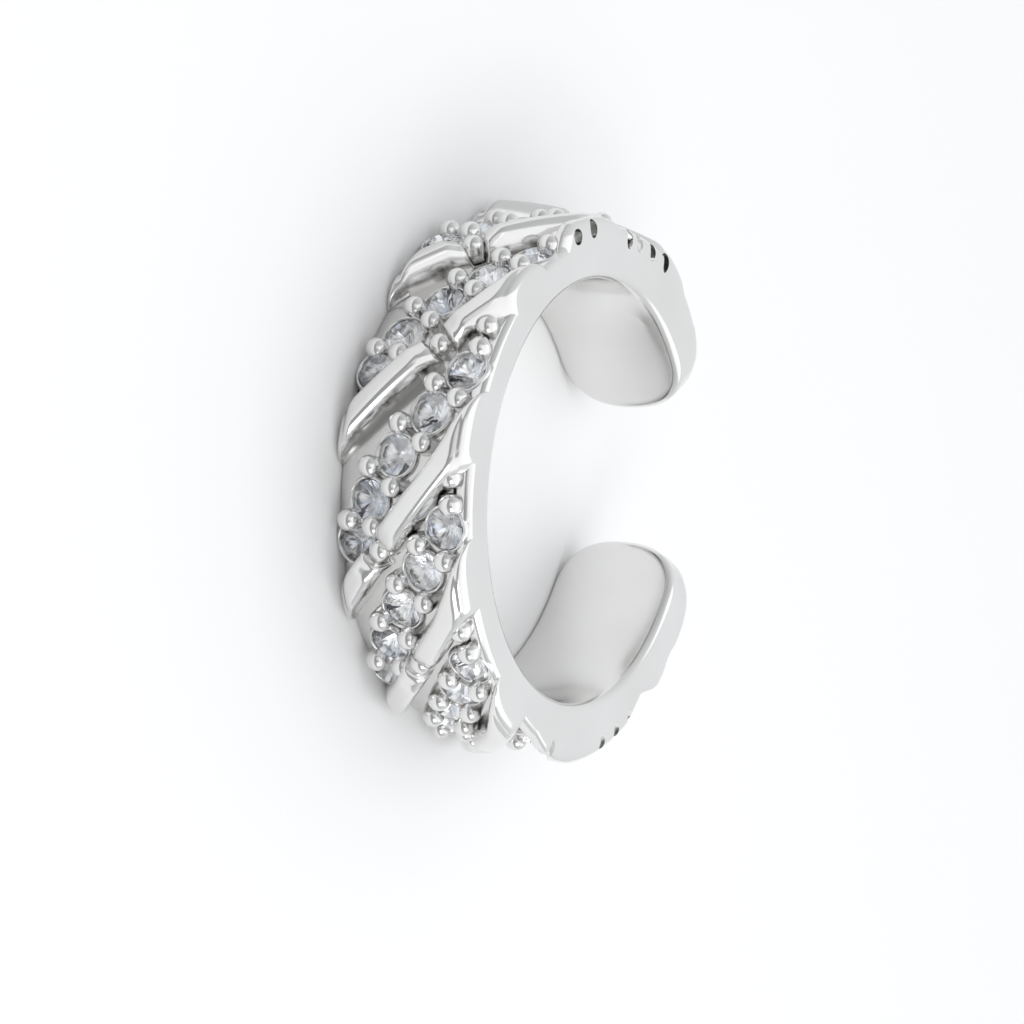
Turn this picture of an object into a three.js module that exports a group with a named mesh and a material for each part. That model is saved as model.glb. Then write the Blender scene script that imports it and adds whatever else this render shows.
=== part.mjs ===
// Open ear cuff, cast in one piece: a C-shaped band with plain rims, slanted raised bars and sunk channels.
// It lies on its side: the band's axis is along Z, its opening faces +X and its lower rim rests on Z = 0.
// The origin is the middle of the cuff's own box, at its base.
// Millimetres and degrees. Heights inside the functions are measured from the band's middle.
import * as THREE from "three";

// Band.
const innerRadius = 4.8; // the ear side of the band
const halfWidth = 1.65; // half of its width along the axis
const lipRadius = 5.69; // plain rims beside the channels
const paveRadius = 5.83; // the stones' flat tops, as one surface
const padRadius = 6.06; // plain ends of the band
const padGrowth = { first: 0.19, last: 0.07 }; // how much thicker than that each end is
const innerRound = 0.21; // radius along both inner edges
const upperRound = 0.16; // rounding at the outer edge of the upper rim
const lowerRound = 0.3; // the same at the lower rim
const endRound = 0.32; // the same round the two ends
const lipEdge = 1.45; // the channels stop here, short of both rims

// The two ends.
const gapHalf = 19.8; // from +X to each end
const noseLength = 17.2; // each end narrows over this much
const nosePower = 2.46; // 2 is an ellipse, higher is squarer
const padFirst = 58; // the first plain end runs to this angle at the band's middle
const padLast = 317; // the last plain end starts at this one
const dent = { angle: 331, halfWidth: 5, depth: 0.13 }; // a shallow dent across the last plain end

// Bars.
const slant = 11.7; // a bar moves round by this for each millimetre down the axis
const crown = 2.6; // from a bar's middle to the edge of its crown
const bevel = 4.3; // to the lower edge of its bevel
const foot = 5.3; // to its foot
const flare = 5.5; // extra width where a bar runs into the upper rim
const flareFrom = 0.7; // height where the flare starts
const shoulder = 0.36; // length over which a bar's crown rounds off at the upper rim
const tail = 0.3; // the same at its lower end
const tailEnd = -1.44; // a bar's lower end
const cutHalf = 0.2; // half of the cut that splits a bar in two
const cutTilt = 0.05; // the cut climbs by this for each degree across the bar

// A row for each bar: its angle at the band's middle, the height of its cut, and its crown's radius.
const bars = [
  { angle: 74, cut: 0.14, radius: 6.58 },
  { angle: 110, cut: -0.36, radius: 6.25 },
  { angle: 148.5, cut: 0.3, radius: 6.17 },
  { angle: 184.3, cut: -0.46, radius: 6.17 },
  { angle: 215.7, cut: -0.07, radius: 6.17 },
  { angle: 250, cut: -0.24, radius: 6.21 },
  { angle: 286, cut: 0.1, radius: 6.17 },
];

const { clamp, degToRad, radToDeg, lerp } = THREE.MathUtils;

// 0 before one value and 1 past the other, with a smooth change between them.
function ease(x, from, to) {
  const t = clamp((x - from) / (to - from), 0, 1);
  return t * t * (3 - 2 * t);
}

// Quarter of a round edge: 1 up to one value and 0 at the other.
function roundOff(x, from, to) {
  const t = clamp((x - from) / (to - from), 0, 1);
  return Math.sqrt(1 - t * t);
}

// Radius of one bar at an angle and a height, or 0 away from it.
function barHeight(bar, angle, z) {
  const across = angle - (bar.angle - slant * z);
  const wide = across < 0 ? flare * ease(z, flareFrom, halfWidth) : 0;
  const x = (Math.abs(across) * foot) / (foot + wide);
  if (x > foot) return 0;
  const fromCut = Math.abs(z - bar.cut - cutTilt * clamp(across, -foot, foot));
  let rise = bar.radius - paveRadius;
  rise -= 0.03 * Math.min(1, (x / crown) ** 2);
  rise -= 0.11 * clamp((x - crown) / (bevel - crown), 0, 1);
  rise *= 1 - clamp((x - bevel) / (foot - bevel), 0, 1);
  rise *= ease(fromCut, cutHalf * 0.75, cutHalf);
  const top = paveRadius + rise;
  const upper = roundOff(z, halfWidth - shoulder, halfWidth);
  const lower = roundOff(z, tailEnd + tail, tailEnd);
  return lipRadius + (top - lipRadius) * upper * lower;
}

// Outer radius of the band, before its edges are rounded.
function outerRadius(angle, z) {
  const atMiddle = angle + slant * z;
  let r = lerp(paveRadius, lipRadius, ease(Math.abs(z), lipEdge - 0.06, lipEdge));
  for (const bar of bars) r = Math.max(r, barHeight(bar, angle, z));
  const lastEdge = z > 0 ? atMiddle : angle;
  const plain = Math.max(1 - ease(atMiddle, padFirst - 1, padFirst), ease(lastEdge, padLast, padLast + 1));
  const dented = dent.depth * (1 - ease(Math.abs(atMiddle - dent.angle), 0, dent.halfWidth));
  return lerp(r, padRadius + (angle < 180 ? padGrowth.first : padGrowth.last) - dented, plain);
}

// Slant of the mesh's columns: that of the bars, and none at the two ends.
function columnSlant(angle, z) {
  const fromFirst = (angle - gapHalf - noseLength) / (padFirst - 1 - gapHalf - noseLength);
  const lastPlain = 360 - gapHalf - noseLength;
  const fromLast = z > 0 ? (lastPlain - angle) / (lastPlain - padLast - 1) : (padLast - angle) / 24;
  return slant * clamp(Math.min(fromFirst, fromLast), 0, 1);
}

// Height of the row that follows the bars' cuts, passed smoothly from bar to bar.
function cutRow(angle) {
  const after = bars.findIndex((bar) => bar.angle > angle);
  if (after === 0) return bars[0].cut;
  if (after < 0) return bars.at(-1).cut;
  const [a, b] = [bars[after - 1], bars[after]];
  const blend = ease(angle, a.angle + foot, b.angle - foot);
  const near = cutTilt * clamp(angle - a.angle, 0, foot) * (1 - blend);
  const next = cutTilt * clamp(angle - b.angle, -foot, 0) * blend;
  return lerp(a.cut, b.cut, blend) + near + next;
}

// Columns round the band: each has an angle, its share of the full width, and how far it is into an end.
const bodyFrom = gapHalf + noseLength;
const bodyTo = 360 - bodyFrom;
const noseSteps = 8;
const nose = [];
for (let i = 0; i < noseSteps; i++) {
  const cos = Math.cos((Math.PI / 2) * (i / noseSteps));
  const width = (1 - cos ** nosePower) ** (1 / nosePower);
  nose.push({ angle: gapHalf + noseLength * (1 - cos), width, inset: cos });
}
const marks = [bodyFrom, padFirst - 1, padFirst];
for (const bar of bars)
  for (const x of [-foot, -bevel, -crown, 0, crown, bevel, foot])
    if (bar.angle + x < bodyTo - 0.6) marks.push(bar.angle + x);
marks.push(padLast, padLast + 1, bodyTo);
const body = [{ angle: bodyFrom, width: 1, inset: 0 }];
for (let i = 1; i < marks.length; i++) {
  const step = marks[i] > padLast + 1 ? 0.8 : marks[i] > bars.at(-1).angle + foot ? 2.6 : 4.4;
  const parts = Math.ceil((marks[i] - marks[i - 1]) / step);
  for (let k = 1; k <= parts; k++)
    body.push({ angle: lerp(marks[i - 1], marks[i], k / parts), width: 1, inset: 0 });
}
const lastNose = nose.map((column) => ({ ...column, angle: 360 - column.angle })).reverse();
const columns = [...nose, ...body, ...lastNose];

// Rows round the band's section, in order: inside, upper rim, outside, lower rim.
const roundSteps = 4;
const innerSteps = 6;
const outerSteps = 13;
const rows = [];
for (let k = 0; k <= innerSteps; k++) rows.push({ zone: "inner", side: 0, k });
for (let k = 1; k <= roundSteps; k++) rows.push({ zone: "corner", side: 1, k });
for (let k = 0; k < roundSteps; k++) rows.push({ zone: "edge", side: 1, k });
for (let k = 0; k <= outerSteps; k++) rows.push({ zone: "outer", side: 0, k });
for (let k = roundSteps - 1; k >= 0; k--) rows.push({ zone: "edge", side: -1, k });
for (let k = roundSteps; k >= 1; k--) rows.push({ zone: "corner", side: -1, k });

// Radius, angle and height of the point where a column meets a row.
function surfacePoint(column, row) {
  const ended = ease(Math.min(column.angle, 360 - column.angle), bodyFrom + 8, gapHalf);
  const towardsBody = column.angle < 180 ? 1 : -1;
  const place = (z, edge, radius) => {
    const h = z * column.width;
    const moved = (towardsBody * radToDeg(edge * column.inset)) / (radius ?? padRadius);
    const angle = column.angle + moved - columnSlant(column.angle, h) * h;
    return [radius ?? outerRadius(angle, h), angle, h];
  };
  const turn = (Math.PI / 2) * (row.k / roundSteps);
  if (row.zone === "inner") {
    const z = lerp(-1, 1, row.k / innerSteps) * (halfWidth - innerRound);
    return place(z, innerRound, innerRadius);
  }
  if (row.zone === "corner") {
    const back = innerRound * (1 - Math.sin(turn));
    const radius = innerRadius + innerRound * (1 - Math.cos(turn));
    return place(row.side * (halfWidth - back), back, radius);
  }
  const upperReach = lerp(upperRound, endRound, ended);
  const lowerReach = lerp(lowerRound, endRound, ended);
  if (row.zone === "edge") {
    const [round, reach] = row.side > 0 ? [upperRound, upperReach] : [lowerRound, lowerReach];
    const top = place(row.side * (halfWidth - reach), reach)[0];
    const face = lerp(lipRadius - round, padRadius - 1.6 * endRound, ended);
    const back = reach * (1 - Math.cos(turn));
    return place(row.side * (halfWidth - back), back, face + (top - face) * Math.sin(turn));
  }
  const cut = cutRow(column.angle);
  const upperZ = halfWidth - upperReach;
  const lowerZ = lowerReach - halfWidth;
  const heights = [upperZ, 1.43, 1.36, 1.28, 1.0, 0.75, cut + 0.2, cut + 0.15];
  heights.push(cut - 0.15, cut - 0.2, -0.85, -1.1, -1.25, lowerZ);
  const z = clamp(heights[row.k], lowerZ, upperZ);
  return place(z, Math.min(upperReach, lowerReach), undefined);
}

// The closed mesh. At each end the upper and lower rows meet in one line of points.
const positions = [];
const corners = new Map();
const grid = columns.map((column, i) =>
  rows.map((row, j) => {
    const atTip = i === 0 || i === columns.length - 1;
    const single = row.zone === "inner" || row.zone === "outer";
    const key = atTip ? `${i} ${row.zone} ${single ? "" : row.k}` : `${i} ${j}`;
    if (!corners.has(key)) {
      const [r, angle, z] = surfacePoint(column, row);
      corners.set(key, positions.length / 3);
      const around = degToRad(angle);
      positions.push(r * Math.cos(around), r * Math.sin(around), z + halfWidth);
    }
    return corners.get(key);
  }),
);
const indices = [];
function addTriangle(a, b, c) {
  if (a !== b && b !== c && c !== a) indices.push(a, b, c);
}
for (let i = 1; i < columns.length; i++)
  for (let j = 0; j < rows.length; j++) {
    const next = (j + 1) % rows.length;
    const [a, b, c, d] = [grid[i - 1][j], grid[i][j], grid[i][next], grid[i - 1][next]];
    addTriangle(a, c, b);
    addTriangle(a, d, c);
  }

const geometry = new THREE.BufferGeometry();
geometry.setAttribute("position", new THREE.Float32BufferAttribute(positions, 3));
geometry.setIndex(indices);
geometry.computeBoundingBox();
const middle = geometry.boundingBox.getCenter(new THREE.Vector3());
geometry.translate(-middle.x, -middle.y, 0);
geometry.computeVertexNormals();
const metal = new THREE.MeshStandardMaterial({ color: 0xdcdde0, roughness: 0.12, metalness: 1 });
const cuff = new THREE.Mesh(geometry, metal);
cuff.name = "cuff_body";

const part = new THREE.Group();
part.add(cuff);
export default part;
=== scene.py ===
import math

import bmesh
import bpy
import numpy as np
from mathutils import Matrix, Vector


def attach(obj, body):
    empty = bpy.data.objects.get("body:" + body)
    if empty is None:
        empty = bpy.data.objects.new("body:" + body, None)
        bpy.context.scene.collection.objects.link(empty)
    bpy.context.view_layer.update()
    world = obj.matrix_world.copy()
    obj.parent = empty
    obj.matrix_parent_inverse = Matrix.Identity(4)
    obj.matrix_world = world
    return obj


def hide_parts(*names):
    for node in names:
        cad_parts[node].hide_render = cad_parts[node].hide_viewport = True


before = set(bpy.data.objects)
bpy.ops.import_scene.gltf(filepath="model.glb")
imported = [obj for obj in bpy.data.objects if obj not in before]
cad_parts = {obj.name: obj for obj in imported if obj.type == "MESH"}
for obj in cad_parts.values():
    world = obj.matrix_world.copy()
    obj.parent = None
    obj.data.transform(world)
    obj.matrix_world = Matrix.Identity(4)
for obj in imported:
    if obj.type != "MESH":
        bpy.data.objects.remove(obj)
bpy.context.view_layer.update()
scene = bpy.context.scene

# ---------------------------------------------------------------------------
# Cuff body. One casting of silver, plated with rhodium and polished: the
# C-shaped band with its plain rims and ends, and the slanted bars. The
# channels between the bars are sunk to take the stones.
# Lengths are in millimetres and angles in degrees. Heights are measured from
# the band's middle, and angles from the middle of its opening.
# ---------------------------------------------------------------------------
MM = 0.001
BAND_AXIS = (0.19531, -0.20058)  # the band's axis, from the middle of the whole cuff
HALF_WIDTH = 1.65
INNER_RADIUS = 4.8
FLOOR_RADIUS = 5.6  # the channels' floors
LIP_RADIUS = 5.69  # the thin rims on both sides of the channels
LIP_EDGE, LIP_SLOPE = 1.46, 0.12  # height where a rim is full, and the width of its slope
PAD_RADIUS = 6.06  # the plain ends, each with its own extra thickness
FIRST_PAD_GROWTH, LAST_PAD_GROWTH = 0.19, 0.07
# Rounding of the section's corners: inside, outside above and below, and outside at the two ends.
INNER_ROUND, UPPER_ROUND, LOWER_ROUND, END_ROUND = 0.21, 0.17, 0.3, 0.32
END_FACE = 1.6  # how far an end's side faces stop short of its outside, for each END_ROUND
FACE_FOLLOWS = 0.75  # share of a raised edge's height by which the side face goes out with it

GAP_HALF = 19.8  # from the middle of the opening to each tip
NOSE_LENGTH, NOSE_POWER = 17.2, 2.46  # the part of each end that narrows to its tip, and how square it is
END_FADE = 8.0  # over this the section's corners turn into those of the ends
PAD_FIRST, PAD_FIRST_FADE = 58.0, 5.0
PAD_LAST, PAD_LAST_FADE = 317.0, (-2.0, 7.0)
DENT_ANGLE, DENT_HALF_WIDTH, DENT_DEPTH = 331.0, 5.0, 0.13

SLANT = 11.7  # degrees round the band for each millimetre of height
SLANT_FADE = 24.0  # over this the slant dies away at the lower edge of the last end
FOOT = 5.1  # half the width of a bar
BAR_POWER = 3.8  # how square its section is
FLARE, FLARE_FROM, FLARE_FADE = 5.5, 0.7, 10.0  # how bars widen as they run into the upper rim
SHOULDER, TAIL, TAIL_END = 0.36, 0.3, -1.44  # lengths of a bar's upper and lower ends, and where it stops
BAR_END_DROP = 0.03  # a bar's ends go this far under the rims
CUT_HALF, CUT_TILT = 0.19, 0.05  # the cut across each bar
CUT_WALL = 0.5  # share of half the cut that is its flat bottom
CUT_SHOULDER, CUT_SHOULDER_END = 0.78, 2.2  # share of a bar's height beside its cut, and where it is full
# Angle of each bar where it crosses the band's middle, height of its cut, and radius of its crown.
BARS = [(74.0, 0.14, 6.58), (110.0, -0.36, 6.25), (148.5, 0.3, 6.17), (184.3, -0.46, 6.17),
        (215.7, -0.07, 6.17), (250.0, -0.24, 6.21), (286.0, 0.1, 6.17)]

# Middle of each channel, where it crosses the band's middle, and the stones
# along it, as degrees from that middle and a height.
CHANNELS = [92.0, 129.25, 166.4, 200.0, 232.85, 268.0]
STONE_PLACES = [(-15.9, 1.08), (-6.3, 0.47), (3.1, -0.2), (13.0, -0.78), (22.3, -1.1)]
CUP_DEPTH, CUP_FLAT, CUP_EDGE = 0.28, 0.3, 0.42  # the hollow under each of these stones
# The upper rim stands higher at the first bars and at the last: angle and radius of its edge.
RIM_EDGE = [(31, 5.69), (38, 6.2), (56, 6.33), (64, 6.22), (74, 6.08), (84, 6.05), (91, 6.18),
            (105, 6.15), (107.5, 6.0), (110, 5.69), (238, 5.69), (245, 5.78), (251, 6.02),
            (256, 6.12), (262, 6.16), (274, 6.1), (290, 6.0), (298, 5.69)]
RIM_BACK, RIM_BACK_SLOPE = 1.22, 0.14  # height where the raised edge starts, and the width of its slope
# The first channel's floor is further out than the others'.
RAISE, RAISE_FROM, RAISE_TO = 0.33, 74.0, 110.0
RAISE_FADE_IN, RAISE_FADE_OUT = 4.0, 3.0


def ease(x, start, stop):
    """0 at the start and 1 at the stop, with a smooth step between them."""
    t = np.clip((x - start) / (stop - start), 0, 1)
    return t * t * (3 - 2 * t)


def round_off(x, start, stop):
    """1 at the start and 0 at the stop, falling as a quarter of a circle does."""
    t = np.clip((x - start) / (stop - start), 0, 1)
    return np.sqrt(1 - t * t)


def blend(a, b, share):
    """From a to b by a share."""
    return a + (b - a) * share


def bar_surface(bar, angle, z):
    """Radius of one bar at each angle and height, and 0 away from it."""
    bar_angle, cut, crown_radius = bar
    across = angle - (bar_angle - SLANT * z)
    wide = np.where(across < 0, FLARE * ease(z, FLARE_FROM, HALF_WIDTH), 0)
    x = np.abs(across) * FOOT / (FOOT + wide)
    from_cut = np.abs(z - cut - CUT_TILT * np.clip(across, -FOOT, FOOT))
    rise = crown_radius - FLOOR_RADIUS
    rounded = np.sqrt(1 - np.clip(x / FOOT, 0, 1) ** BAR_POWER)
    beside_cut = blend(CUT_SHOULDER, 1, ease(from_cut, CUT_HALF, CUT_HALF * CUT_SHOULDER_END))
    top = FLOOR_RADIUS + rise * rounded * beside_cut * ease(from_cut, CUT_HALF * CUT_WALL, CUT_HALF)
    upper = round_off(z, HALF_WIDTH - SHOULDER, HALF_WIDTH)
    lower = round_off(z, TAIL_END + TAIL, TAIL_END)
    inner = LIP_RADIUS - BAR_END_DROP
    return np.where(x > FOOT, 0, inner + (top - inner) * upper * lower)


def raised(at_middle):
    """How much further out than elsewhere the channel's floor is, by angle at the band's middle."""
    begun = ease(at_middle, RAISE_FROM - RAISE_FADE_IN, RAISE_FROM + RAISE_FADE_IN)
    ended = ease(at_middle, RAISE_TO - RAISE_FADE_OUT, RAISE_TO + RAISE_FADE_OUT)
    return RAISE * begun * (1 - ended)


def outer_surface(angle, z):
    """Outer radius of the band at each angle and height."""
    at_middle = angle + SLANT * z
    lip = ease(np.abs(z), LIP_EDGE - LIP_SLOPE, LIP_EDGE)
    r = blend(FLOOR_RADIUS, LIP_RADIUS, lip) + raised(at_middle)
    edge_radius = np.interp(angle, *zip(*RIM_EDGE))
    r = blend(r, np.maximum(r, edge_radius), ease(z, RIM_BACK, RIM_BACK + RIM_BACK_SLOPE))
    for channel in CHANNELS:
        for place, height in STONE_PLACES:
            away = np.hypot((angle - channel - place) * math.radians(1) * FLOOR_RADIUS, z - height)
            r = r - CUP_DEPTH * (1 - ease(away, CUP_FLAT, CUP_EDGE))
    for bar in BARS:
        r = np.maximum(r, bar_surface(bar, angle, z))
    last_edge = np.where(z > 0, at_middle, angle)
    first = 1 - ease(at_middle, PAD_FIRST - PAD_FIRST_FADE, PAD_FIRST)
    last = ease(last_edge, PAD_LAST + PAD_LAST_FADE[0], PAD_LAST + PAD_LAST_FADE[1])
    dented = DENT_DEPTH * (1 - ease(np.abs(at_middle - DENT_ANGLE), 0, DENT_HALF_WIDTH))
    growth = np.where(angle < 180, FIRST_PAD_GROWTH, LAST_PAD_GROWTH)
    return blend(r, PAD_RADIUS + growth - dented, np.maximum(first, last))


def column_slant(angle, z):
    """Slant of the mesh's columns: that of the bars, and none at the two ends."""
    last_plain = 360 - GAP_HALF - NOSE_LENGTH
    from_first = (angle - GAP_HALF - NOSE_LENGTH) / (PAD_FIRST - 1 - GAP_HALF - NOSE_LENGTH)
    upper_last = (last_plain - angle) / (last_plain - PAD_LAST - 1)
    from_last = np.where(z > 0, upper_last, (PAD_LAST - angle) / SLANT_FADE)
    return SLANT * np.clip(np.minimum(from_first, from_last), 0, 1)


def flare_shift(angle, z):
    """How far the mesh's columns lean back at each height to follow the flared side of a bar."""
    leaning = ((-FOOT - FLARE_FADE, -FOOT, 0), (0, 1, 0))
    share = sum(np.interp(angle - bar_angle, *leaning) for bar_angle, _, _ in BARS)
    return FLARE * ease(z, FLARE_FROM, HALF_WIDTH) * share


def cut_height(angle):
    """Height that passes through every bar's cut, and smoothly from one bar to the next."""
    height = np.full_like(angle, BARS[0][1])
    for (a, a_cut, _), (b, b_cut, _) in zip(BARS, BARS[1:]):
        share = ease(angle, a + FOOT, b - FOOT)
        leaving = CUT_TILT * np.clip(angle - a, 0, FOOT) * (1 - share)
        arriving = CUT_TILT * np.clip(angle - b, -FOOT, 0) * share
        between = (angle > a) & (angle <= b)
        height = np.where(between, blend(a_cut, b_cut, share) + leaving + arriving, height)
    return np.where(angle > BARS[-1][0], BARS[-1][1], height)


def spaced(marks, step):
    """The marks, with even points between them no further apart than the step."""
    points = [marks[0]]
    for a, b in zip(marks, marks[1:]):
        count = max(1, math.ceil((b - a) / step))
        points += [a + (b - a) * (k + 1) / count for k in range(count)]
    return np.array(points)


NOSE_COLUMNS = 26
FINE_TO = 127.0  # the rim is pocketed up to here, so the mesh is finer
FINE_STEP, COARSE_STEP = 0.27, 0.45
BAR_MARKS = (FOOT, FOOT - 0.05, FOOT - 0.2, FOOT - 0.45, 0.0)  # close together at a bar's steep sides


def band_columns():
    """Angle, share of the full width and inset into an end, for each column of the mesh."""
    turn = np.radians(90) * np.arange(NOSE_COLUMNS) / NOSE_COLUMNS
    cos = np.cos(turn)
    nose_angle = GAP_HALF + NOSE_LENGTH * (1 - cos)
    nose_width = (1 - cos**NOSE_POWER) ** (1 / NOSE_POWER)
    body_from = GAP_HALF + NOSE_LENGTH
    marks = [body_from, PAD_FIRST]
    for bar_angle, _, _ in BARS:
        marks += [bar_angle + side * x for side in (-1, 1) for x in BAR_MARKS]
    marks += [PAD_LAST, 360 - body_from]
    marks = sorted({m for m in marks if m <= 360 - body_from})
    fine = [m for m in marks if m < FINE_TO]
    coarse = [m for m in marks if m >= fine[-1]]
    body = np.concatenate([spaced(fine, FINE_STEP), spaced(coarse, COARSE_STEP)[1:]])
    angle = np.concatenate([nose_angle, body, 360 - nose_angle[::-1]])
    width = np.concatenate([nose_width, np.ones_like(body), nose_width[::-1]])
    inset = np.concatenate([cos, np.zeros_like(body), cos[::-1]])
    return angle, width, inset


INNER_ROWS, CORNER_TURNS = 9, 7
FACE_SHARES = (0.3, 0.6, 0.85, 0.96)  # rows across each side face, close together at its outer edge
BELOW_LIP, CHANNEL_TOP, CHANNEL_BASE = 1.32, 1.2, -1.1  # heights between which rows are spread evenly


def band_rows(angle, width, inset):
    """Radius, angle and height along every row that runs round the band, in order round its section."""
    ended = ease(np.minimum(angle, 360 - angle), GAP_HALF + NOSE_LENGTH + END_FADE, GAP_HALF)
    towards_body = np.where(angle < 180, 1, -1)

    def row(z, edge, radius=None):
        height = z * width
        across = np.degrees(edge * inset) / (PAD_RADIUS if radius is None else radius)
        leaning = column_slant(angle, height) * height + flare_shift(angle, height)
        around = angle + towards_body * across - leaning
        r = outer_surface(around, height) if radius is None else np.full_like(angle, radius)
        return r, around, height

    rows = [row(np.full_like(angle, z), INNER_ROUND, INNER_RADIUS)
            for z in np.linspace(INNER_ROUND - HALF_WIDTH, HALF_WIDTH - INNER_ROUND, INNER_ROWS)]
    turns = np.radians(np.linspace(0, 90, CORNER_TURNS))
    for side in (1, -1):
        corner = []
        for turn in turns[1:]:
            back = INNER_ROUND * (1 - math.sin(turn))
            radius = INNER_RADIUS + INNER_ROUND * (1 - math.cos(turn))
            corner.append(row(np.full_like(angle, side * (HALF_WIDTH - back)), back, radius))
        own_round = UPPER_ROUND if side > 0 else LOWER_ROUND
        reach = blend(own_round, END_ROUND, ended)
        top = row(side * (HALF_WIDTH - reach), reach)[0]
        side_face = blend(LIP_RADIUS - own_round, PAD_RADIUS - END_FACE * END_ROUND, ended)
        if side > 0:
            side_face = side_face + np.clip(top - LIP_RADIUS, 0, 1) * FACE_FOLLOWS * (1 - ended)
        _, around, height = row(np.full_like(angle, side * HALF_WIDTH), 0, PAD_RADIUS)
        face = [(blend(INNER_RADIUS + INNER_ROUND, side_face, share), around, height) for share in FACE_SHARES]
        edge = []
        for turn in turns[:-1]:
            back = reach * (1 - math.cos(turn))
            _, around, height = row(side * (HALF_WIDTH - back), back, PAD_RADIUS)
            edge.append((side_face + (top - side_face) * math.sin(turn), around, height))
        if side > 0:
            rows += corner + face + edge
            upper_reach = reach
        else:
            lower = edge[::-1] + face[::-1] + corner[::-1]
            lower_reach = reach
    cut = cut_height(angle)
    upper_z = HALF_WIDTH - upper_reach
    lower_z = lower_reach - HALF_WIDTH
    wall = CUT_HALF * CUT_WALL
    spans = [(upper_z, BELOW_LIP, 11), (BELOW_LIP, CHANNEL_TOP, 4), (CHANNEL_TOP, cut + CUT_HALF, 16),
             (cut + CUT_HALF, cut + wall, 5), (cut + wall, cut - wall, 4), (cut - wall, cut - CUT_HALF, 5),
             (cut - CUT_HALF, CHANNEL_BASE, 16), (CHANNEL_BASE, lower_z, 8)]
    for start, stop, count in spans:
        for k in range(count):
            z = np.clip(blend(start, stop, k / count) + 0 * angle, lower_z, upper_z)
            rows.append(row(z, np.minimum(upper_reach, lower_reach)))
    rows.append(row(lower_z, np.minimum(upper_reach, lower_reach)))
    return rows + lower


def on_band(radius, angle, height):
    """Where a radius, an angle and a height from the band's middle are, in metres."""
    around = np.radians(angle)
    x = radius * np.cos(around) + BAND_AXIS[0]
    y = radius * np.sin(around) + BAND_AXIS[1]
    return np.stack([x, y, height + HALF_WIDTH + 0 * radius], axis=-1) * MM


def mesh_piece(name, points, faces, smooth=True):
    """A new object in the scene, made of points in metres and faces."""
    mesh = bpy.data.meshes.new(name)
    mesh.from_pydata([tuple(map(float, p)) for p in points], [], faces)
    mesh.validate()
    if smooth:
        mesh.shade_smooth()
    piece = bpy.data.objects.new(name, mesh)
    scene.collection.objects.link(piece)
    return piece


def band_mesh():
    """Points, in metres, and faces of the whole band."""
    rows = band_rows(*band_columns())
    grid = np.stack([on_band(*row) for row in rows], axis=1)
    columns, height, _ = grid.shape
    points = grid.reshape(-1, 3)
    # The two tips close on one line of points, so points that coincide are made one.
    keys, owner = {}, []
    for i, p in enumerate(np.round(points / MM, 5).tolist()):
        owner.append(keys.setdefault(tuple(p), len(keys)))
    unique = np.zeros((len(keys), 3))
    unique[owner] = points
    faces = []
    for i in range(1, columns):
        for j in range(height):
            k = (j + 1) % height
            before, here = (i - 1) * height, i * height
            quad = [owner[before + j], owner[before + k], owner[here + k], owner[here + j]]
            corners = list(dict.fromkeys(quad))
            if len(corners) > 2:
                faces.append(corners)
    return unique, faces


def node(material, kind, **inputs):
    """A new node in a material, with its inputs set by name."""
    made = material.node_tree.nodes.new(kind)
    for key, value in inputs.items():
        made.inputs[key.replace("_", " ")].default_value = value
    return made


# Painted shade in the channels: there the metal's colour is mixed towards this darker grey, which stands in for
# shade.
PAINTED_SHADE_GREY = (0.66, 0.655, 0.645, 1)
RECESS_FROM, RECESS_FULL = 5.95, 5.62  # radii between which the painted shade darkens the metal
RECESS_EDGE = 0.1  # its fade below the upper rim
RECESS_INSIDE, RECESS_INSIDE_FADE = 5.1, 0.05  # inside this radius there is none


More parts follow.
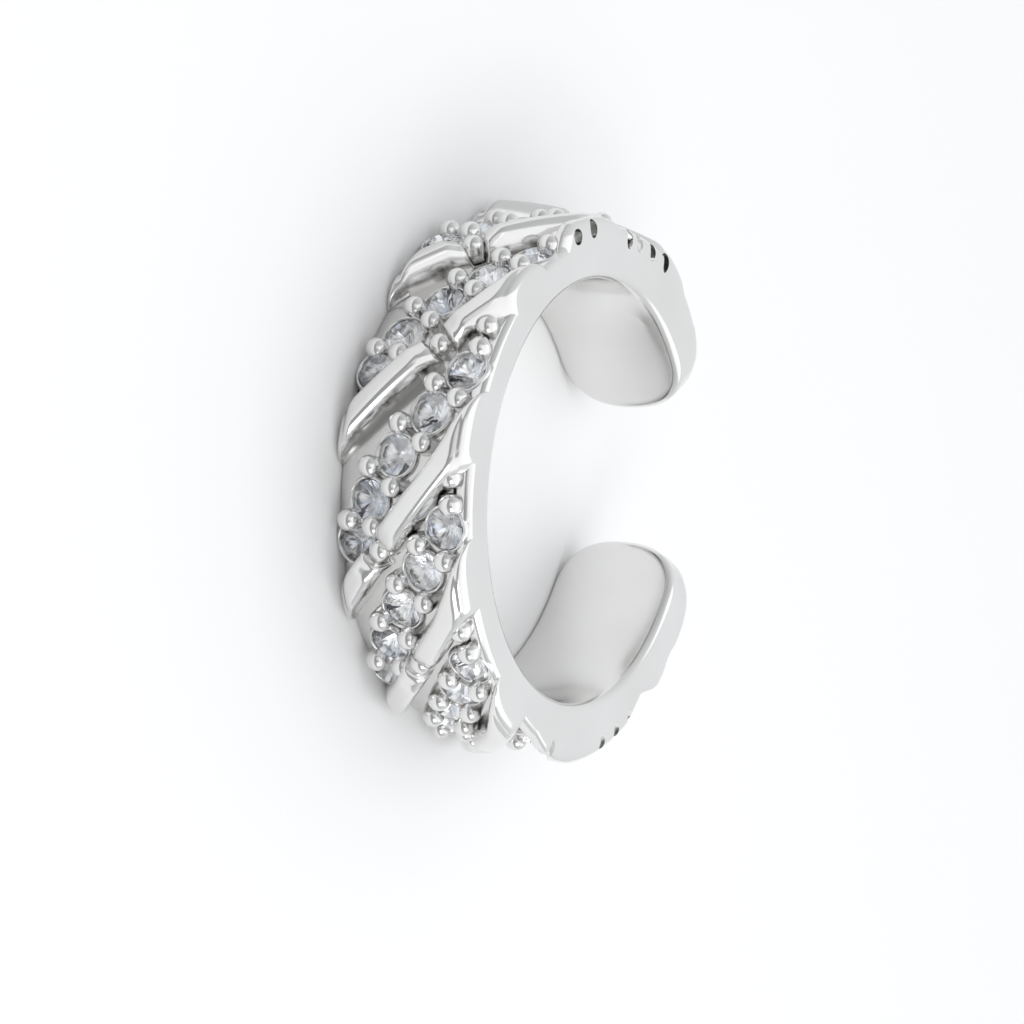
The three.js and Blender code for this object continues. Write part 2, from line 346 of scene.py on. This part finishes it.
def polished_rhodium():
    """Mirror polish with the faint waves and hairlines that a polishing wheel leaves, and painted shade in the
    channels.
    """
    material = bpy.data.materials.new("polished_rhodium")
    material.use_nodes = True
    links = material.node_tree.links
    shader = material.node_tree.nodes["Principled BSDF"]
    shader.inputs["Metallic"].default_value = 1.0
    place = node(material, "ShaderNodeTexCoord")
    waves = node(material, "ShaderNodeTexNoise", Scale=420.0, Detail=2.0)
    hairlines = node(material, "ShaderNodeTexNoise", Scale=5200.0, Detail=4.0)
    links.new(place.outputs["Object"], waves.inputs["Vector"])
    stretch = node(material, "ShaderNodeMapping")
    stretch.inputs["Scale"].default_value = (1.0, 1.0, 0.12)
    links.new(place.outputs["Object"], stretch.inputs["Vector"])
    links.new(stretch.outputs["Vector"], hairlines.inputs["Vector"])
    tint = node(material, "ShaderNodeValToRGB")
    tint.color_ramp.elements[0].position, tint.color_ramp.elements[1].position = 0.3, 0.7
    tint.color_ramp.elements[0].color = (0.76, 0.755, 0.745, 1)
    tint.color_ramp.elements[1].color = (0.81, 0.81, 0.80, 1)
    links.new(waves.outputs["Fac"], tint.inputs["Fac"])
    # Painted shade: the channels' floors and the feet of the bars are mixed towards a darker grey. This stands
    # in for the shade that falls in these recesses.
    from_axis = node(material, "ShaderNodeVectorMath")
    from_axis.operation = "SUBTRACT"
    from_axis.inputs[1].default_value = (BAND_AXIS[0] * MM, BAND_AXIS[1] * MM, 0)
    links.new(place.outputs["Object"], from_axis.inputs[0])
    flat = node(material, "ShaderNodeVectorMath")
    flat.operation = "MULTIPLY"
    flat.inputs[1].default_value = (1, 1, 0)
    links.new(from_axis.outputs["Vector"], flat.inputs[0])
    radius = node(material, "ShaderNodeVectorMath")
    radius.operation = "LENGTH"
    links.new(flat.outputs["Vector"], radius.inputs[0])
    below_bars = node(material, "ShaderNodeMapRange")
    below_bars.inputs["From Min"].default_value = RECESS_FROM * MM
    below_bars.inputs["From Max"].default_value = RECESS_FULL * MM
    links.new(radius.outputs["Value"], below_bars.inputs["Value"])
    height = node(material, "ShaderNodeSeparateXYZ")
    links.new(place.outputs["Object"], height.inputs["Vector"])
    between_rims = node(material, "ShaderNodeMapRange")
    between_rims.inputs["From Min"].default_value = (HALF_WIDTH + LIP_EDGE) * MM
    between_rims.inputs["From Max"].default_value = (HALF_WIDTH + LIP_EDGE - RECESS_EDGE) * MM
    links.new(height.outputs["Z"], between_rims.inputs["Value"])
    outside = node(material, "ShaderNodeMapRange")
    outside.inputs["From Min"].default_value = RECESS_INSIDE * MM
    outside.inputs["From Max"].default_value = (RECESS_INSIDE + RECESS_INSIDE_FADE) * MM
    links.new(radius.outputs["Value"], outside.inputs["Value"])
    recess = node(material, "ShaderNodeMath")
    recess.operation = "MULTIPLY"
    links.new(below_bars.outputs["Result"], recess.inputs[0])
    links.new(between_rims.outputs["Result"], recess.inputs[1])
    hollow = node(material, "ShaderNodeMath")
    hollow.operation = "MULTIPLY"
    links.new(recess.outputs["Value"], hollow.inputs[0])
    links.new(outside.outputs["Result"], hollow.inputs[1])
    # Mixes the painted shade into the metal's colour.
    shade = node(material, "ShaderNodeMix")
    shade.data_type = "RGBA"
    for socket in shade.inputs:
        if socket.identifier == "B_Color":
            socket.default_value = PAINTED_SHADE_GREY
        if socket.identifier == "A_Color":
            links.new(tint.outputs["Color"], socket)
    links.new(hollow.outputs["Value"], shade.inputs["Factor"])
    shaded = next(socket for socket in shade.outputs if socket.identifier == "Result_Color")
    links.new(shaded, shader.inputs["Base Color"])
    gloss = node(material, "ShaderNodeMapRange")
    gloss.inputs["To Min"].default_value, gloss.inputs["To Max"].default_value = 0.12, 0.2
    links.new(hairlines.outputs["Fac"], gloss.inputs["Value"])
    links.new(gloss.outputs["Result"], shader.inputs["Roughness"])
    bump = node(material, "ShaderNodeBump", Strength=0.03, Distance=0.00001)
    links.new(hairlines.outputs["Fac"], bump.inputs["Height"])
    ripple = node(material, "ShaderNodeBump", Strength=0.12, Distance=0.00004)
    links.new(waves.outputs["Fac"], ripple.inputs["Height"])
    links.new(bump.outputs["Normal"], ripple.inputs["Normal"])
    links.new(ripple.outputs["Normal"], shader.inputs["Normal"])
    return material


body_points, body_faces = band_mesh()
cuff_metal = mesh_piece("cuff_metal", body_points, body_faces)
rhodium = polished_rhodium()
cuff_metal.data.materials.append(rhodium)

# Small pockets are drilled into the rim's face at its outer edge: angle, the
# radii where a pocket starts and stops, half its width, and its depth.
POCKETS = [(59.2, 5.82, 6.34, 0.13, 0.6), (66.4, 5.72, 6.24, 0.14, 0.6), (73.2, 5.66, 6.14, 0.14, 0.6),
           (78.4, 5.60, 6.06, 0.14, 0.6), (96.0, 5.70, 6.12, 0.16, 0.5), (103.2, 5.64, 6.0, 0.18, 0.5),
           (251.5, 5.66, 6.3, 0.10, 0.6), (275.5, 5.66, 6.2, 0.12, 0.6), (282.5, 5.62, 6.14, 0.13, 0.6),
           (289.5, 5.62, 6.1, 0.13, 0.6)]
DRILL_TOP, DRILL_STRAIGHT = 0.3, 0.45  # above the rim's face, and down to where its round end begins
SHARP_ANGLE = 75.0  # edges sharper than this, which are the pockets', stay crisp
SMALLEST_EDGE = 0.0003
DRILL_STEPS = 24


def drill_shape():
    """Points and faces of a closed round-ended drill of radius 1 and length 1 below height 0."""
    round_end = [(math.cos(t), -DRILL_STRAIGHT - (1 - DRILL_STRAIGHT) * math.sin(t))
                 for t in np.radians((25, 50, 72))]
    rings = [(1.0, DRILL_TOP), (1.0, -DRILL_STRAIGHT)] + round_end
    turns = [2 * math.pi * k / DRILL_STEPS for k in range(DRILL_STEPS)]
    points = [(r * math.cos(t), r * math.sin(t), h) for r, h in rings for t in turns]
    faces = []
    for i in range(len(rings) - 1):
        for k in range(DRILL_STEPS):
            a, b = i * DRILL_STEPS + k, i * DRILL_STEPS + (k + 1) % DRILL_STEPS
            faces.append([b, a, a + DRILL_STEPS, b + DRILL_STEPS])
    points += [(0, 0, DRILL_TOP), (0, 0, -1)]
    last = (len(rings) - 1) * DRILL_STEPS
    for k in range(DRILL_STEPS):
        after = (k + 1) % DRILL_STEPS
        faces += [[len(points) - 2, k, after], [len(points) - 1, last + after, last + k]]
    return points, faces


drill_points, drill_faces = [], []
shape_points, shape_faces = drill_shape()
for pocket_angle, start, stop, half_width, depth in POCKETS:
    turn = math.radians(pocket_angle)
    first = len(drill_points)
    for along, across, down in shape_points:
        r = (start + stop) / 2 + along * (stop - start) / 2
        x = r * math.cos(turn) - across * half_width * math.sin(turn) + BAND_AXIS[0]
        y = r * math.sin(turn) + across * half_width * math.cos(turn) + BAND_AXIS[1]
        drill_points.append((x * MM, y * MM, (2 * HALF_WIDTH + down * depth) * MM))
    drill_faces += [[first + i for i in face] for face in shape_faces]
drill = mesh_piece("drill", drill_points, drill_faces)
drilling = cuff_metal.modifiers.new("drilling", "BOOLEAN")
drilling.operation = "DIFFERENCE"
drilling.solver = "EXACT"
drilling.object = drill
drilled = bpy.data.meshes.new_from_object(cuff_metal.evaluated_get(bpy.context.evaluated_depsgraph_get()))
cuff_metal.modifiers.clear()
cuff_metal.data = drilled
bpy.data.objects.remove(drill)
cleaned = bmesh.new()
cleaned.from_mesh(drilled)
bmesh.ops.dissolve_degenerate(cleaned, edges=cleaned.edges, dist=SMALLEST_EDGE * MM)
cleaned.to_mesh(drilled)
cleaned.free()
drilled.set_sharp_from_angle(angle=math.radians(SHARP_ANGLE))
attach(cuff_metal, "root")
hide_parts("cuff_body")

# ---------------------------------------------------------------------------
# Stone seats. A thin bright rim of the same metal stands round each stone,
# left when the seat was cut with a bur.
# ---------------------------------------------------------------------------
STONE_RADIUS = 0.43
GIRDLE_RADIUS = 5.66  # from the band's axis to the widest part of a stone, before any raise
LAST_CHANNEL = 304.0  # its stones stand on the plain floor, with no hollows under them
EXTRA_STONES = [(LAST_CHANNEL + place, height) for place, height in STONE_PLACES[:3]] + [(311.0, -0.97)]
# Section of a seat's rim, as a radius and a height above the girdle.
SEAT_PROFILE = [(0.56, -0.1), (0.52, -0.01), (0.49, 0.045), (0.465, 0.055), (0.445, 0.03), (0.43, -0.05),
                (0.36, -0.2)]
SEAT_STEPS = 32

stones = [(channel + place, height) for channel in CHANNELS for place, height in STONE_PLACES]
stones += EXTRA_STONES


def standing_on_band(angle, height, radius):
    """Matrix of a small piece whose own Z points straight out of the band."""
    radius = radius + float(raised(angle + SLANT * height))
    around = math.radians(angle)
    out = Vector((math.cos(around), math.sin(around), 0))
    along = Vector((0, 0, 1))
    turn = Matrix((along.cross(out), along, out)).transposed().to_4x4()
    origin = Vector(on_band(radius, angle, height).tolist())
    return Matrix.Translation(origin) @ turn @ Matrix.Diagonal((MM, MM, MM, 1))


def repeat(points, faces, matrices):
    """One mesh of a shape set at each matrix."""
    all_points, all_faces = [], []
    for matrix in matrices:
        first = len(all_points)
        all_points += [matrix @ Vector(p) for p in points]
        all_faces += [[first + i for i in face] for face in faces]
    return all_points, all_faces


def turned(profile, steps, top=None):
    """A closed profile of (radius, height) turned round Z, or an open one capped at its top and base."""
    turns = [2 * math.pi * k / steps for k in range(steps)]
    points = [(r * math.cos(t), r * math.sin(t), h) for r, h in profile for t in turns]
    rings = len(profile)
    faces = []
    for i in range(rings if top is None else rings - 1):
        here, above = i * steps, (i + 1) % rings * steps
        for k in range(steps):
            after = (k + 1) % steps
            faces.append([here + k, here + after, above + after, above + k])
    if top is not None:
        last = (rings - 1) * steps
        faces += [[last + k, last + (k + 1) % steps, len(points)] for k in range(steps)]
        faces.append(list(range(steps))[::-1])
        points.append((0, 0, top))
    return points, faces


seat_shape = turned(SEAT_PROFILE, SEAT_STEPS)
seat_places = [standing_on_band(angle, height, GIRDLE_RADIUS) for angle, height in stones]
seats = mesh_piece("stone_seats", *repeat(*seat_shape, seat_places))
seats.data.materials.append(rhodium)
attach(seats, "root")

# ---------------------------------------------------------------------------
# Stones. Round brilliant-cut cubic zirconia, colourless, set with their
# tables just above the channel's floor and held by the beads beside them.
# ---------------------------------------------------------------------------
TABLE_RADIUS, CROWN_HEIGHT, PAVILION_DEPTH, GIRDLE_HALF = 0.56, 0.32, 0.84, 0.03
STAR_RADIUS, LOWER_RADIUS = 0.77, 0.24


def brilliant():
    """Points and faces of a round brilliant of radius 1, its girdle at height 0."""
    eighth = math.radians(45)
    fall = math.cos(eighth / 2)

    def ring(count, radius, height, shift):
        turns = [(k + shift) * 2 * math.pi / count for k in range(count)]
        return [(radius * math.cos(t), radius * math.sin(t), height) for t in turns]

    star_height = GIRDLE_HALF + CROWN_HEIGHT * (1 - STAR_RADIUS * fall) / (1 - TABLE_RADIUS)
    lower_height = -GIRDLE_HALF - PAVILION_DEPTH * (1 - LOWER_RADIUS * fall)
    points = ring(8, TABLE_RADIUS, GIRDLE_HALF + CROWN_HEIGHT, 0) + ring(8, STAR_RADIUS, star_height, 0.5)
    points += ring(16, 1, GIRDLE_HALF, 0) + ring(16, 1, -GIRDLE_HALF, 0)
    points += ring(8, LOWER_RADIUS, lower_height, 0.5)
    points.append((0, 0, -GIRDLE_HALF - PAVILION_DEPTH))
    table, star, upper, under, lower, culet = 0, 8, 16, 32, 48, 56
    faces = [list(range(8))]
    for k in range(8):
        after, before = (k + 1) % 8, (k - 1) % 8
        faces.append([table + k, star + k, table + after])
        faces.append([table + k, star + before, upper + 2 * k, star + k])
        faces.append([star + k, upper + 2 * k, upper + 2 * k + 1])
        faces.append([star + k, upper + 2 * k + 1, upper + (2 * k + 2) % 16])
        faces.append([lower + k, under + 2 * k + 1, under + 2 * k])
        faces.append([lower + k, under + (2 * k + 2) % 16, under + 2 * k + 1])
        faces.append([under + 2 * k, lower + before, culet, lower + k])
    for k in range(16):
        faces.append([upper + k, under + k, under + (k + 1) % 16, upper + (k + 1) % 16])
    return points, faces


def clear_zirconia():
    """The crown: clear, with faint clouds. Less refractive than zirconia, to show the facets below."""
    material = bpy.data.materials.new("clear_zirconia")
    material.use_nodes = True
    links = material.node_tree.links
    shader = material.node_tree.nodes["Principled BSDF"]
    shader.inputs["Roughness"].default_value = 0.0
    shader.inputs["IOR"].default_value = 1.4
    shader.inputs["Transmission Weight"].default_value = 1.0
    place = node(material, "ShaderNodeTexCoord")
    clouds = node(material, "ShaderNodeTexNoise", Scale=900.0)
    links.new(place.outputs["Object"], clouds.inputs["Vector"])
    tint = node(material, "ShaderNodeValToRGB")
    tint.color_ramp.elements[0].color = (0.96, 0.975, 1.0, 1)
    tint.color_ramp.elements[1].color = (1.0, 1.0, 1.0, 1)
    links.new(clouds.outputs["Fac"], tint.inputs["Fac"])
    links.new(tint.outputs["Color"], shader.inputs["Base Color"])
    return material


def pavilion_sparkle():
    """The facets below, which throw the light back, each with a painted reflection tone: white, tinted and dark
    facets stand in for the bright and dark flashes of a brilliant.
    """
    material = bpy.data.materials.new("pavilion_sparkle")
    material.use_nodes = True
    links = material.node_tree.links
    shader = material.node_tree.nodes["Principled BSDF"]
    shader.inputs["Metallic"].default_value = 1.0
    shader.inputs["Roughness"].default_value = 0.18
    tone = node(material, "ShaderNodeAttribute")
    tone.attribute_name = "painted_facet_flash"
    links.new(tone.outputs["Color"], shader.inputs["Base Color"])
    return material


# Painted reflection tone of a facet, and the share of the facets that have it: the tinted and dark ones stand
# in for the flashes that a colourless brilliant reflects.
PAINTED_FACET_FLASHES = [((1.0, 1.0, 1.0, 1), 0.72), ((0.95, 0.97, 1.0, 1), 0.15), ((0.72, 0.76, 0.84, 1), 0.07),
               ((0.12, 0.12, 0.15, 1), 0.06)]
BELOW_GIRDLE = -0.3  # facets that face further inwards than this are the pavilion's

turns = np.random.default_rng(7).uniform(0, 45, len(stones))
stone_matrices = [standing_on_band(a, z, GIRDLE_RADIUS) @ Matrix.Rotation(math.radians(t), 4, "Z")
                  @ Matrix.Scale(STONE_RADIUS, 4) for (a, z), t in zip(stones, turns)]
stone_set = mesh_piece("pave_stones", *repeat(*brilliant(), stone_matrices), smooth=False)
stone_set.data.materials.append(clear_zirconia())
stone_set.data.materials.append(pavilion_sparkle())
tones = stone_set.data.color_attributes.new("painted_facet_flash", "FLOAT_COLOR", "CORNER")
picks = np.random.default_rng(11)
for face in stone_set.data.polygons:
    # Facets below the girdle are those that face the band's axis.
    outward = Vector((face.center.x - BAND_AXIS[0] * MM, face.center.y - BAND_AXIS[1] * MM, 0)).normalized()
    face.material_index = 1 if face.normal.dot(outward) < BELOW_GIRDLE else 0
    # Each facet gets a painted reflection tone, picked at random.
    tone = PAINTED_FACET_FLASHES[picks.choice(len(PAINTED_FACET_FLASHES), p=[share for _, share in PAINTED_FACET_FLASHES])][0]
    for corner in face.loop_indices:
        tones.data[corner].color = tone
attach(stone_set, "root")

# ---------------------------------------------------------------------------
# Beads. Round-topped grains of the body's own metal, raised with a beading
# tool on both sides of each stone and pushed a little over its edge.
# ---------------------------------------------------------------------------
BEAD_RADIUS = 0.25
BEAD_CENTRE = 5.77  # from the band's axis to a bead's middle, before any raise
BEAD_STEPS = 24
BEAD_PLACES = [(-12.3, 0.47), (-9.3, 1.1), (-3.4, -0.15), (0.4, 0.46),
               (6.0, -0.76), (9.9, -0.17), (17.4, -1.22), (18.4, -0.62)]
RIM_BEADS = [(108.7, 1.2), (139.8, 1.22), (145.4, 1.26), (173.4, 1.22), (179.0, 1.26), (206.2, 1.22),
             (211.8, 1.26), (236.3, 1.15)]
EXTRA_BEADS = RIM_BEADS + [(LAST_CHANNEL + x, z) for x, z in BEAD_PLACES[:4]] + [(304.0, -0.78), (313.5, -0.42)]

beads = [(channel + x, z) for channel in CHANNELS for x, z in BEAD_PLACES] + EXTRA_BEADS
beads += [(bar_angle - SLANT * cut, cut) for bar_angle, cut, _ in BARS]
bead_profile = [(BEAD_RADIUS * 1.1, -0.3), (BEAD_RADIUS * 0.97, -0.12)]
bead_turns = np.radians(np.arange(0, 90, 11.25))
bead_profile += [(BEAD_RADIUS * math.cos(t), BEAD_RADIUS * math.sin(t)) for t in bead_turns]
bead_shape = turned(bead_profile, BEAD_STEPS, BEAD_RADIUS)
bead_places = [standing_on_band(angle, height, BEAD_CENTRE) for angle, height in beads]
bead_set = mesh_piece("setting_beads", *repeat(*bead_shape, bead_places))
bead_set.data.materials.append(rhodium)
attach(bead_set, "root")

# ---------------------------------------------------------------------------
# Tabletop. The plain matt white surface that the cuff lies on.
# ---------------------------------------------------------------------------
TABLE_HALF = 0.6


def matt_white():
    material = bpy.data.materials.new("matt_white")
    material.use_nodes = True
    links = material.node_tree.links
    shader = material.node_tree.nodes["Principled BSDF"]
    shader.inputs["Roughness"].default_value = 0.9
    shader.inputs["Specular IOR Level"].default_value = 0.1
    grain = node(material, "ShaderNodeTexNoise", Scale=40.0, Detail=3.0)
    tint = node(material, "ShaderNodeValToRGB")
    tint.color_ramp.elements[0].color = (0.965, 0.965, 0.965, 1)
    tint.color_ramp.elements[1].color = (0.985, 0.985, 0.985, 1)
    links.new(grain.outputs["Fac"], tint.inputs["Fac"])
    links.new(tint.outputs["Color"], shader.inputs["Base Color"])
    return material


corners = [(x * TABLE_HALF, y * TABLE_HALF, 0) for x, y in ((-1, -1), (1, -1), (1, 1), (-1, 1))]
tabletop = mesh_piece("tabletop", corners, [[0, 1, 2, 3]], smooth=False)
tabletop.data.materials.append(matt_white())

# ---------------------------------------------------------------------------
# Light. Large soft boxes over a pale room.
# ---------------------------------------------------------------------------


def softbox(name, position, size, power):
    light = bpy.data.lights.new(name, "AREA")
    light.shape = "RECTANGLE"
    light.size, light.size_y = size
    light.energy = power
    lamp = bpy.data.objects.new(name, light)
    lamp.location = Vector(position)
    lamp.rotation_euler = (-Vector(position)).to_track_quat("-Z", "Y").to_euler()
    scene.collection.objects.link(lamp)


softbox("softbox_above", (0.0, -0.04, 0.18), (0.32, 0.32), 0.155)
softbox("softbox_side", (-0.10, -0.12, 0.10), (0.10, 0.06), 0.05)
softbox("softbox_front", (-0.20, 0.08, 0.17), (0.16, 0.16), 0.03)

# The room is brightest low over the cuff's opening, and darker the further round from there.
BRIGHTEST = (0.86, -0.1, 0.5)
DARKEST_FROM = -0.8
DARKEST_STRENGTH, BRIGHTEST_STRENGTH = 0.34, 0.95
room = bpy.data.worlds.new("pale_room")
room.use_nodes = True
background = room.node_tree.nodes["Background"]
background.inputs["Color"].default_value = (0.97, 0.98, 1.0, 1)
direction = room.node_tree.nodes.new("ShaderNodeTexCoord")
towards_opening = room.node_tree.nodes.new("ShaderNodeVectorMath")
towards_opening.operation = "DOT_PRODUCT"
towards_opening.inputs[1].default_value = BRIGHTEST
room.node_tree.links.new(direction.outputs["Generated"], towards_opening.inputs[0])
strength = room.node_tree.nodes.new("ShaderNodeMapRange")
strength.inputs["From Min"].default_value = DARKEST_FROM
strength.inputs["To Min"].default_value = DARKEST_STRENGTH
strength.inputs["To Max"].default_value = BRIGHTEST_STRENGTH
room.node_tree.links.new(towards_opening.outputs["Value"], strength.inputs["Value"])
room.node_tree.links.new(strength.outputs["Result"], background.inputs["Strength"])
scene.world = room
scene.view_settings.view_transform = "Standard"

# ---------------------------------------------------------------------------
# Camera. Low over the side of the cuff opposite its opening, turned so that
# the cuff stands upright in the frame.
# ---------------------------------------------------------------------------
ELEVATION, AZIMUTH, ROLL = 29.665, 173.191, 1.485
SHIFT_RIGHT, SHIFT_UP = 0.112278, 0.118645
DISTANCE, FOCAL = 10.0, 2089.22
RING = INNER_RADIUS * MM

el, az, roll = map(math.radians, (ELEVATION, AZIMUTH, ROLL))
towards = Vector((math.cos(el) * math.cos(az), math.cos(el) * math.sin(az), math.sin(el)))
level = Vector((0, 1, 0)).cross(towards).normalized()
upright = towards.cross(level)
right = math.cos(roll) * level + math.sin(roll) * upright
up = towards.cross(right)
middle = Vector(on_band(np.float64(0.0), 0.0, 0.0).tolist())
eye = middle + (DISTANCE * towards - SHIFT_RIGHT * right - SHIFT_UP * up) * RING

lens = bpy.data.cameras.new("camera")
lens.sensor_width = 36.0
lens.lens = lens.sensor_width * FOCAL / 1024
lens.clip_start = 0.001
lens.clip_end = 10.0
camera = bpy.data.objects.new("camera", lens)
camera.matrix_world = Matrix.Translation(eye) @ Matrix((right, up, towards)).transposed().to_4x4()
scene.collection.objects.link(camera)
scene.camera = camera
